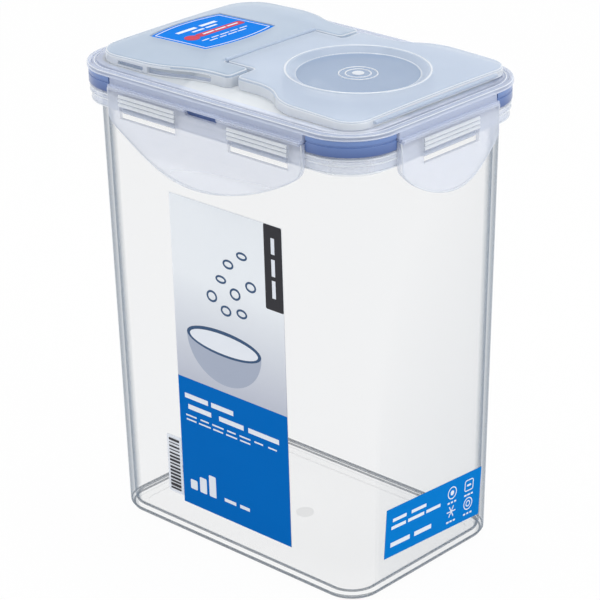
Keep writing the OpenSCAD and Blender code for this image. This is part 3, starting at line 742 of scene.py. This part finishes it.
def newTree(name, inputs):
    tree = bpy.data.node_groups.new(name, "GeometryNodeTree")
    sockets = {}
    for label, kind in inputs:
        sockets[label] = tree.interface.new_socket(
            label, in_out="INPUT", socket_type="NodeSocket" + kind).identifier
    tree.interface.new_socket("Geometry", in_out="OUTPUT", socket_type="NodeSocketGeometry")
    return tree, sockets, tree.nodes.new("NodeGroupInput").outputs


def endTree(tree, geometry, material):
    # every tree ends in plain geometry with its material
    real = addNode(tree, "GeometryNodeRealizeInstances", {"Geometry": geometry})
    painted = addNode(tree, "GeometryNodeSetMaterial", {
        "Geometry": real.outputs["Geometry"], "Material": material})
    addNode(tree, "NodeGroupOutput", {"Geometry": painted.outputs["Geometry"]})


def joinXyz(tree, x, y, z):
    return addNode(tree, "ShaderNodeCombineXYZ", {0: x, 1: y, 2: z}).outputs[0]


rowTree, rowSockets, given = newTree("blockRow", (
    ("Count", "Int"), ("Pitch", "Float"), ("Height", "Float"), ("Thickness", "Float"),
    ("Least", "Float"), ("Most", "Float"), ("Seed", "Int"), ("Material", "Material")))
line = addNode(rowTree, "GeometryNodeMeshLine", {
    "Count": given["Count"], "Offset": joinXyz(rowTree, given["Pitch"], 0, 0)})
block = addNode(rowTree, "GeometryNodeMeshCube", {
    "Size": joinXyz(rowTree, 1, given["Height"], given["Thickness"])})
chance = addNode(rowTree, "FunctionNodeRandomValue", {
    2: given["Least"], 3: given["Most"], "Seed": given["Seed"]})
spots = addNode(rowTree, "GeometryNodeInstanceOnPoints", {
    "Points": line.outputs["Mesh"], "Instance": block.outputs["Mesh"],
    "Scale": joinXyz(rowTree, chance.outputs[1], 1, 1)})
endTree(rowTree, spots.outputs["Instances"], given["Material"])

lineTree, lineSockets, given = newTree("roundLine", (
    ("Geometry", "Geometry"), ("Radius", "Float"), ("Material", "Material")))
path = addNode(lineTree, "GeometryNodeMeshToCurve", {"Mesh": given["Geometry"]})
ring = addNode(lineTree, "GeometryNodeCurvePrimitiveCircle", {
    "Resolution": 8, "Radius": given["Radius"]})
sweep = addNode(lineTree, "GeometryNodeCurveToMesh", {
    "Curve": path.outputs["Curve"], "Profile Curve": ring.outputs["Curve"]})
endTree(lineTree, sweep.outputs["Mesh"], given["Material"])
print("trees for rows and lines made")


def grown(tree, sockets, values, data):
    # the tree's result as a plain mesh
    seed = bpy.data.objects.new("seed", data)
    bpy.context.scene.collection.objects.link(seed)
    grow = seed.modifiers.new("grow", "NODES")
    grow.node_group = tree
    for label, value in values.items():
        grow[sockets[label]] = value
    result = bpy.data.meshes.new_from_object(
        seed.evaluated_get(bpy.context.evaluated_depsgraph_get()))
    seed.modifiers.remove(grow)
    bpy.data.objects.remove(seed)
    return result


def blockRow(
        mesh, place, start, up, count, pitch, least, most, height, seed, thickness,
        upright=False):
    # a row of blocks with lengths between least and most; place puts it on its surface
    result = grown(rowTree, rowSockets, {
        "Count": count, "Pitch": pitch, "Height": height, "Thickness": thickness,
        "Least": least, "Most": most, "Seed": seed, "Material": finish["whitePrint"]},
        bpy.data.meshes.new("row"))
    for v in result.vertices:
        u, w = start + most / 2 + v.co.x, up + v.co.y
        v.co = place(*((w, u) if upright else (u, w)), v.co.z + thickness / 2)
    mesh.from_mesh(result)


def asGiven(x, y, z, w):
    return (x, y, z)


def roundLine(mesh, points, radius, place, isOpen=False):
    data = bpy.data.meshes.new("line")
    n = len(points)
    data.from_pydata(
        [place(*p, 0) for p in points], [(i, (i + 1) % n) for i in range(n - isOpen)], [])
    mesh.from_mesh(grown(
        lineTree, lineSockets, {"Radius": radius, "Material": finish["whitePrint"]}, data))


def patch(mesh, place, outline, low, high):
    # a thin plate with the outline's shape
    loft(mesh, [[place(u, v, w) for u, v in outline] for w in (low, high)])


def band(mesh, place, outline, half, low, high):
    # a flat line of even width along a closed outline
    wide, tight = outline(half), outline(-half)
    loft(mesh, [[place(u, v, w) for u, v in ring] for ring, w in (
        (wide, low), (wide, high), (tight, high), (tight, low))], closed=True)


def boxOutline(u0, v0, u1, v1, r=0.0):
    return rounded([(u0, v0, r), (u1, v0, r), (u1, v1, r), (u0, v1, r)], 4, True)


def ellipse(u, v, ru, rv, start=0, end=360, steps=36):
    turns = [math.radians(start + (end - start) * i / steps) for i in range(steps + 1)]
    if end - start == 360:
        turns.pop()
    return [(u + ru * math.cos(a), v + rv * math.sin(a)) for a in turns]


# front label

labels = {
    "face": 0.22,  # from a wall to the outside of a label on it
    # the wall's place at the foot, and how far it leans out over its height
    "front": {"left": -24.2, "foot": 11.4, "wall": -41.5, "lean": math.atan(2.7 / 167)},
    "side": {
        "mid": (27.5, 10), "along": 2.2, "rise": 19.3, "wall": 63,
        "lean": math.atan(3.5 / 167), "turn": math.radians(-3.4)}}


def onFront(u, v, w):
    # u and v from the front label's lower left corner, w out from its face
    at = labels["front"]
    out, rise = labels["face"] + w, at["foot"] + v
    return (
        u + at["left"], at["wall"] - out * math.cos(at["lean"]) - rise * math.sin(at["lean"]),
        tub["edge"] - out * math.sin(at["lean"]) + rise * math.cos(at["lean"]))


def onSideLabel(u, v, w):
    # u and v from the side label's lower left corner, w out from its face
    at = labels["side"]
    u, v = u - at["mid"][0], v - at["mid"][1]
    y = u * math.cos(at["turn"]) - v * math.sin(at["turn"])
    rise = u * math.sin(at["turn"]) + v * math.cos(at["turn"]) + at["rise"]
    out = labels["face"] + w
    return (
        at["wall"] + out * math.cos(at["lean"]) + rise * math.sin(at["lean"]),
        y + at["along"],
        tub["edge"] - out * math.sin(at["lean"]) + rise * math.cos(at["lean"]))


def onTop(u, v, w):
    # u across the cover, v back from the middle of the top label
    x, y = topLabel["middle"] - v, u
    return (x, y, crownZ(x, y) - topLabel["sunk"] + w)


def ink(name, look, body, slotName, draw):
    mesh = bmesh.new()
    draw(mesh)
    seated(finished(name, mesh, [look]), body, slotName)


# a row is its start, place up, count, pitch, least and most length, height and seed;
# a box is its left, foot, right, top and corner radius; flat is a plate's back and face
frontPrint = {
    "panel": (0, 0, 56, 54.1), "dark": (47.3, 95, 56, 128, 0.6),
    "strip": (-8.2, 2, -0.5, 26.6, 0.5), "stripBars": (3.2, -4.3, 15, 1.5, 0.25, 1.15, 5.4, 5),
    "rows": (
        (3, 46.6, 2, 13.5, 9, 12.5, 2.0, 3), (3, 42.2, 3, 16.5, 11, 15.5, 2.0, 8),
        (3, 38.4, 7, 7.0, 4, 6.2, 0.6, 4), (3, 36.6, 5, 7.0, 4, 6.2, 0.6, 5)),
    "onDark": (99.5, 51.6, 3, 8.4, 5.6, 7.6, 1.7, 6), "columns": (4, 6.5, 9),
    "lowRow": (21.5, 8.2, 2, 7.6, 5, 7, 1.4, 9), "flat": (-0.02, 0.03), "ink": 0.08}
bowl = {
    "mid": (25, 74), "rim": (19, 5.2), "depth": 17, "lip": (1.6, 1.2), "loopHalf": 2.3,
    "loops": (
        (36, 112), (29, 107), (40, 101), (32, 96), (25, 100), (35, 89), (27, 88), (20, 92))}


def frontBlue(mesh):
    patch(mesh, onFront, boxOutline(*frontPrint["panel"]), *frontPrint["flat"])


def frontBlack(mesh):
    patch(mesh, onFront, boxOutline(*frontPrint["dark"]), *frontPrint["flat"])
    blockRow(mesh, onFront, *frontPrint["stripBars"], 0.05, upright=True)


def frontWhite(mesh):
    patch(mesh, onFront, boxOutline(*frontPrint["strip"]), -0.3, -0.15)
    for row in frontPrint["rows"]:
        blockRow(mesh, onFront, *row, frontPrint["ink"])
    blockRow(mesh, onFront, *frontPrint["onDark"], frontPrint["ink"], upright=True)
    for k, h in enumerate(frontPrint["columns"]):
        patch(
            mesh, onFront, boxOutline(4 + 5 * k, 7, 7.6 + 5 * k, 7 + h, 0.5), 0,
            frontPrint["ink"])
    blockRow(mesh, onFront, *frontPrint["lowRow"], frontPrint["ink"])


def bowlLoops(mesh):
    wide = bowl["loopHalf"]
    for k, (u, v) in enumerate(bowl["loops"]):
        tall = 1.2 + 0.25 * (k % 4)  # four heights in turn
        band(
            mesh, onFront, lambda g: ellipse(u, v, wide + g, tall + g, steps=20), 0.4, -0.02,
            frontPrint["ink"])


ink("front_blue_panel", "bluePrint", "container", "front_print", frontBlue)
ink("front_dark_print", "blackPrint", "container", "front_print", frontBlack)
ink("front_light_print", "whitePrint", "container", "front_print", frontWhite)
(u, v), (ru, rv), (lipU, lipV) = bowl["mid"], bowl["rim"], bowl["lip"]
for name, look, *plate in (
        ("front_bowl_side", "greyPrint", ellipse(u, v, ru, bowl["depth"], 180, 360), -0.02, 0.03),
        ("front_bowl_rim", "navyPrint", ellipse(u, v, ru, rv), -0.02, 0.045),
        ("front_bowl_fill", "whitePrint", ellipse(u, v - 0.2, ru - lipU, rv - lipV), 0, 0.06)):
    ink(name, look, "container", "front_print", lambda mesh: patch(mesh, onFront, *plate))
ink("front_loops", "navyPrint", "container", "front_print", bowlLoops)


# side label and top label

sidePrint = {
    "rows": (
        (2.5, 14.8, 2, 11, 7, 10, 1.3, 2), (2.5, 11.8, 3, 10, 7, 9.2, 1.3, 5),
        (2.5, 4.8, 2, 13, 8, 12, 1.8, 7)),
    "signs": ((38, 14), (48, 14), (38, 6), (48, 6)), "underSign": (3, 1.9, 1.1, 1.6, 0.7),
    "rings": ((38, 14.6, 2.4), (48, 6.8, 2.4), (48, 6.8, 1.1)), "dot": (38, 14.6, 1.0, 1.0),
    "frame": (45.6, 12.4, 50.4, 16.8, 0.8), "framed": (46.8, 14.2, 49.2, 15.0, 0.3),
    "star": (38, 6.8), "ray": (-2.5, -0.22, 2.5, 0.22, 0.1), "lineHalf": 0.2, "ink": 0.06}
topPrint = {
    "edgeInset": 1.4, "edgeHalf": 0.2, "edgeInk": 0.1,
    "rows": (
        (-11, 8.2, 2, 11.5, 8, 10.6, 1.9, 4), (-6, 4.8, 2, 7.0, 5, 6.4, 1.1, 6),
        (-12, -6.0, 5, 5.0, 3.2, 4.5, 0.6, 8), (-10, -8.2, 4, 5.0, 3.2, 4.5, 0.6, 9)),
    "ink": 0.08, "onBar": (-5.4, -0.3, 3, 6.4, 4.4, 5.8, 0.9, 3), "onBarInk": 0.14,
    "bar": (-8, -2.2, 15.5, 1.6, 0.8), "ball": (-11.2, -0.4, 3.0, 3.0)}


def sideWhite(mesh):
    half, thick = sidePrint["lineHalf"], sidePrint["ink"]
    for row in sidePrint["rows"]:
        blockRow(mesh, onSideLabel, *row, thick)
    for u, v in sidePrint["signs"]:
        blockRow(mesh, onSideLabel, u - 2.6, v - 3.4, *sidePrint["underSign"], int(u + v), thick)
    for u, v, r in sidePrint["rings"]:
        band(
            mesh, onSideLabel, lambda g: ellipse(u, v, r + g, r + g, steps=24), half, 0, thick)
    patch(mesh, onSideLabel, ellipse(*sidePrint["dot"], steps=16), 0, thick)
    u0, v0, u1, v1, r = sidePrint["frame"]
    band(
        mesh, onSideLabel, lambda g: boxOutline(u0 - g, v0 - g, u1 + g, v1 + g, r + g), half,
        0, thick)
    patch(mesh, onSideLabel, boxOutline(*sidePrint["framed"]), 0, thick)
    u, v = sidePrint["star"]
    for turn in range(3):
        a = math.radians(60 * turn)
        c, s = math.cos(a), math.sin(a)
        ray = [
            (u + c * p - s * q, v + s * p + c * q) for p, q in boxOutline(*sidePrint["ray"])]
        patch(mesh, onSideLabel, ray, 0.004 * turn, thick + 0.004 * turn)


def topWhite(mesh):
    inset = topPrint["edgeInset"]
    band(
        mesh, onTop, lambda g: [(y, topLabel["middle"] - x) for x, y in labelOutline(g - inset)],
        topPrint["edgeHalf"], 0, topPrint["edgeInk"])
    for row in topPrint["rows"]:
        blockRow(mesh, onTop, *row, topPrint["ink"])
    blockRow(mesh, onTop, *topPrint["onBar"], topPrint["onBarInk"])


def topRed(mesh):
    patch(mesh, onTop, boxOutline(*topPrint["bar"]), -0.02, 0.07)
    patch(mesh, onTop, ellipse(*topPrint["ball"], steps=28), -0.02, 0.09)


ink("side_light_print", "whitePrint", "container", "side_print", sideWhite)
ink("top_light_print", "whitePrint", "lid", "top_print", topWhite)
ink("top_red_print", "redPrint", "lid", "top_print", topRed)


# raised marks, and lines that paint highlights along edges and shade at the container's foot; a
# line is its place out, its height and half its thickness

press = {"rings": (4.6, 7.0), "lineRadius": 0.3, "dot": 2.2, "dotHeight": 0.25}
# where the lines lie: the painted highlights along edges, and for the tub the painted shade at its
# foot
highlightAndShadeLines = {
    "crownEdge": (0.62, 189.45, 0.28), "coverFoot": (0.3, 184.95, 0.25),
    "flapFoot": (0.3, 185.25, 0.25), "slotFoot": 184.95, "slotRadius": 0.22,
    "tub": ((-1.45, 0.66, 0.42), (-0.42, 2.0, 0.34), (-2.75, 2.95, 0.5)),
    "rim": ((3.95, 175.2, 0.3), (3.95, 173.3, 0.3), (3.45, 170.15, 0.3)),
    "lid": ((4.6, 183.9, 0.25), (2.2, 183.95, 0.25), (4.75, 182.65, 0.25)),
    "dishEdge": (26.1, 0.5), "dishFoot": (22.6, 0.28)}


def onDish(u, v, w):
    # u across the flap, v back from the dish's middle, w up from its floor
    x, y = spoutMid[0] - v, u
    return (x, y, underCrown(x, y, dishFloor, flap["foot"]) + w)


def onDishEdge(u, v, w):
    # the same, but along the top of the dish's edge
    x, y = spoutMid[0] - v, u
    return (x, y, crownZ(x, y) - 0.1)


def pressMark(mesh):
    for r in press["rings"]:
        roundLine(mesh, ellipse(0, 0, r, r, steps=48), press["lineRadius"], onDish)
    dot = ellipse(0, 0, press["dot"], press["dot"], steps=32)
    patch(mesh, onDish, dot, -0.05, press["dotHeight"])


def dishHighlights(mesh):
    # painted highlights round the top of the dish's edge and round its foot
    (edge, edgeRadius), (foot, footRadius) = highlightAndShadeLines["dishEdge"], highlightAndShadeLines["dishFoot"]
    roundLine(mesh, ellipse(0, 0, edge, edge, steps=96), edgeRadius, onDishEdge)
    roundLine(
        mesh, ellipse(0, 0, foot, foot, steps=96), footRadius, lambda u, v, w: onDish(u, v, 0.1))


def crownLine(mesh, outline, foot, g, z, radius):
    # a painted highlight line round a part that follows the crown
    points = outline(g)
    roundLine(
        mesh, evenly(points, spacing(points, 4.0)), radius,
        lambda x, y, w: (x, y, underCrown(x, y, z, foot)))


def coverHighlights(mesh):
    # painted highlights along the cover's top edge and foot, and round its slots
    foot = cover["foot"]
    crownLine(mesh, coverOutline, foot, *highlightAndShadeLines["crownEdge"])
    crownLine(mesh, coverOutline, foot, *highlightAndShadeLines["coverFoot"])
    wall = coverOutline(0.15)
    wall = [p for p in wall[:len(wall) // 2] if p[1] > 30]

    def onWall(x):
        for (xa, ya), (xb, yb) in zip(wall, wall[1:]):
            if min(xa, xb) <= x <= max(xa, xb) and xa != xb:
                return ya + (yb - ya) * (x - xa) / (xb - xa)
        return min(y for x, y in wall)

    (x0, x1), top = cover["slot"]
    low = highlightAndShadeLines["slotFoot"]
    frameLine = rounded([(x0, low, 0.6), (x1, low, 1.4), (x1, top, 1.4), (x0, top, 0.6)], 5, True)
    for m in (-1, 1):
        roundLine(
            mesh, evenly(frameLine, spacing(frameLine, 2.0)), highlightAndShadeLines["slotRadius"],
            lambda x, z, w: (x, m * onWall(x), underCrown(x, 38, z, foot)))


def flapHighlights(mesh):
    # painted highlights along the flap's top edge and foot
    crownLine(mesh, flapOutline, flap["foot"], *highlightAndShadeLines["crownEdge"])
    crownLine(mesh, flapOutline, flap["foot"], *highlightAndShadeLines["flapFoot"])


def levelLines(ring, lines):
    def draw(mesh):
        for out, z, radius in lines:
            roundLine(mesh, ring(out, z), radius, asGiven)
    return draw


# lines that paint highlights on the dish, cover, flap, lid and rim
for name, body, draw in (
        ("press_mark", "flap", pressMark), ("dish_lines", "flap", dishHighlights),
        ("cover_lines", "lid", coverHighlights), ("flap_lines", "flap", flapHighlights),
        ("lid_lines", "lid", levelLines(mouthRing, highlightAndShadeLines["lid"])),
        ("rim_lines", "container", levelLines(mouthRing, highlightAndShadeLines["rim"]))):
    ink(name, "brightEdge", body, "clear_plastic" if body == "container" else "frosted_lid", draw)
# grey lines that paint shade where the container's wall rounds into its floor, outside and in
ink("container_lines", "edgeGrey", "container", "clear_plastic", levelLines(tubRing, highlightAndShadeLines["tub"]))


# grip ridges over the latches' windows, in pale plastic that paints their highlights, and a
# painted highlight line round each latch

ridges = {
    "count": 3, "pitch": 1.6, "foot": 173.6, "out": 1.0, "radius": 0.72,
    "length": {0: 28.5, 1: 30}}
ridgeTree, ridgeSockets, given = newTree("ridgeStack", (
    ("Count", "Int"), ("Pitch", "Float"), ("Length", "Float"), ("Radius", "Float"),
    ("Material", "Material")))
line = addNode(ridgeTree, "GeometryNodeMeshLine", {
    "Count": given["Count"], "Offset": joinXyz(ridgeTree, 0, 0, given["Pitch"])})
rod = addNode(ridgeTree, "GeometryNodeMeshCylinder", {
    "Vertices": 20, "Radius": given["Radius"], "Depth": given["Length"]})
spots = addNode(ridgeTree, "GeometryNodeInstanceOnPoints", {
    "Rotation": (0, math.pi / 2, 0), "Points": line.outputs["Mesh"],
    "Instance": rod.outputs["Mesh"]})
endTree(ridgeTree, spots.outputs["Instances"], given["Material"])
print("tree for ridges made")


def latchOutline(side, node):
    # just inside the latch's outer edge, as seen from straight in front of it, from one
    # top corner down and round to the other
    start = Vector(onSide(side, 0, 0, 0))
    along, outward = (Vector(onSide(side, *step, 0)) - start for step in ((1, 0), (0, -1)))
    points = [v.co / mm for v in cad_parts[node].data.vertices]
    flat = [Vector((p.dot(along), p.z)) for p in points]
    hull = [flat[i] for i in convex_hull_2d(flat)]
    hull = [p for p, q in zip(hull, hull[1:] + hull[:1]) if (p - q).length > 0.35]
    top = max(range(len(hull)), key=lambda i: hull[i - 1].y + hull[i].y)
    hull = hull[top:] + hull[:top]
    mid = sum(hull, Vector((0, 0))) / len(hull)
    line = []
    for p in hull:
        reach = max(v.dot(outward) for v, q in zip(points, flat) if (p - q).length < 1.0)
        p = p + (mid - p).normalized() * latch["lineInset"]
        line.append(tuple(
            along * p.x + outward * (reach - latch["lineSunk"]) + Vector((0, 0, p.y))))
    return line


for side, name in enumerate(sides):
    mesh = bmesh.new()
    for x in tub["ribAt"][side % 2]:
        stack = grown(ridgeTree, ridgeSockets, {
            "Count": ridges["count"], "Pitch": ridges["pitch"],
            "Length": ridges["length"][side % 2], "Radius": ridges["radius"],
            "Material": finish["brightEdge"]}, bpy.data.meshes.new("stack"))
        for v in stack.vertices:
            v.co = onSide(side, x + v.co.x, v.co.y - ridges["out"], ridges["foot"] + v.co.z)
        mesh.from_mesh(stack)
    # a painted highlight line just inside the latch's edge
    roundLine(
        mesh, latchOutline(side, name + "_latch"), latch["lineRadius"], asGiven, True)
    seated(finished(name + "_grip", mesh, ["brightEdge"]), name + "_wing", "latch_plastic")


# floor, light and camera

stage = {
    "half": 3, "level": -0.0002, "matte": (0.9, 0.9, 0.9, 1), "white": 0.96,
    "sky": (1, 1, 1, 1), "skyLight": 0.62}


def seenShare(tree):
    # 1 for what the camera sees, straight on or by gloss or through clear parts, 0 for light
    path = addNode(tree, "ShaderNodeLightPath").outputs
    most = addNode(tree, "ShaderNodeMath", {
        0: path["Is Camera Ray"], 1: path["Is Glossy Ray"]}, operation="MAXIMUM")
    return addNode(tree, "ShaderNodeMath", {
        0: most.outputs[0], 1: path["Is Transmission Ray"]}, operation="MAXIMUM").outputs[0]


def stageMaterial(name):
    material = bpy.data.materials.new(name)
    material.use_nodes = True
    tree = material.node_tree
    tree.nodes.remove(tree.nodes["Principled BSDF"])
    matte = addNode(tree, "ShaderNodeBsdfDiffuse", {"Color": stage["matte"]})
    glow = addNode(tree, "ShaderNodeEmission", {"Strength": 1.0})
    share = addNode(
        tree, "ShaderNodeMath", {0: seenShare(tree), 1: stage["white"]}, operation="MULTIPLY")
    mixed = addNode(tree, "ShaderNodeMixShader", {
        0: share.outputs[0], 1: matte.outputs[0], 2: glow.outputs[0]})
    tree.links.new(mixed.outputs[0], tree.nodes["Material Output"].inputs["Surface"])
    return material


floorMesh = bpy.data.meshes.new("floor")
half = stage["half"]
square = [(-half, -half), (half, -half), (half, half), (-half, half)]
floorMesh.from_pydata(level(square, stage["level"]), [], [(0, 1, 2, 3)])
floor = bpy.data.objects.new("floor", floorMesh)
floorMesh.materials.append(stageMaterial("floorWhite"))
bpy.context.scene.collection.objects.link(floor)

world = bpy.data.worlds.new("studio")
bpy.context.scene.world = world
world.use_nodes = True
tree = world.node_tree
sky = tree.nodes["Background"]
sky.inputs["Color"].default_value = stage["sky"]
tree.links.new(spread(tree, seenShare(tree), stage["skyLight"], 1.0), sky.inputs["Strength"])

# place, aim, width and height, and power
lamps = {
    "keyLeft": ((-0.9, -1.1, 0.9), (0, 0, 0.1), (1.3, 1.2), 7.0),
    "keyRight": ((1.3, 0.2, 0.9), (0, 0, 0.1), (0.7, 1.0), 8.0),
    "overhead": ((-0.1, 0.3, 1.3), (0, 0, 0.15), (0.8, 0.5), 4.0)}
for name, (place, aim, size, power) in lamps.items():
    light = bpy.data.lights.new(name, "AREA")
    light.shape = "RECTANGLE"
    light.size, light.size_y = size
    light.energy = power
    lamp = bpy.data.objects.new(name, light)
    lamp.location = place
    lamp.rotation_euler = (Vector(aim) - Vector(place)).to_track_quat("-Z", "Y").to_euler()
    bpy.context.scene.collection.objects.link(lamp)
print("floor and lights placed")

shot = {
    "place": (0.59194, -0.63494, 0.47007), "aim": (0.04725, -0.05142, 0.12206),
    "roll": -1.021, "focal": 2505.4, "frame": 600,  # the last two in pixels
    "sensor": 36, "nearest": 0.01}
camera = bpy.data.objects.new("camera", bpy.data.cameras.new("camera"))
forward = (Vector(shot["aim"]) - Vector(shot["place"])).normalized()
side = forward.cross(Vector((0, 0, 1))).normalized()
rise = side.cross(forward)
cosRoll, sinRoll = math.cos(math.radians(shot["roll"])), math.sin(math.radians(shot["roll"]))
right = cosRoll * side + sinRoll * rise
up = cosRoll * rise - sinRoll * side
turn = Matrix((right, up, -forward)).transposed()
camera.matrix_world = Matrix.Translation(Vector(shot["place"])) @ turn.to_4x4()
camera.data.sensor_width = shot["sensor"]
camera.data.lens = shot["focal"] / shot["frame"] * shot["sensor"]
camera.data.clip_start = shot["nearest"]
bpy.context.scene.collection.objects.link(camera)
bpy.context.scene.camera = camera
bpy.context.scene.view_settings.view_transform = "Standard"

print("scene done")
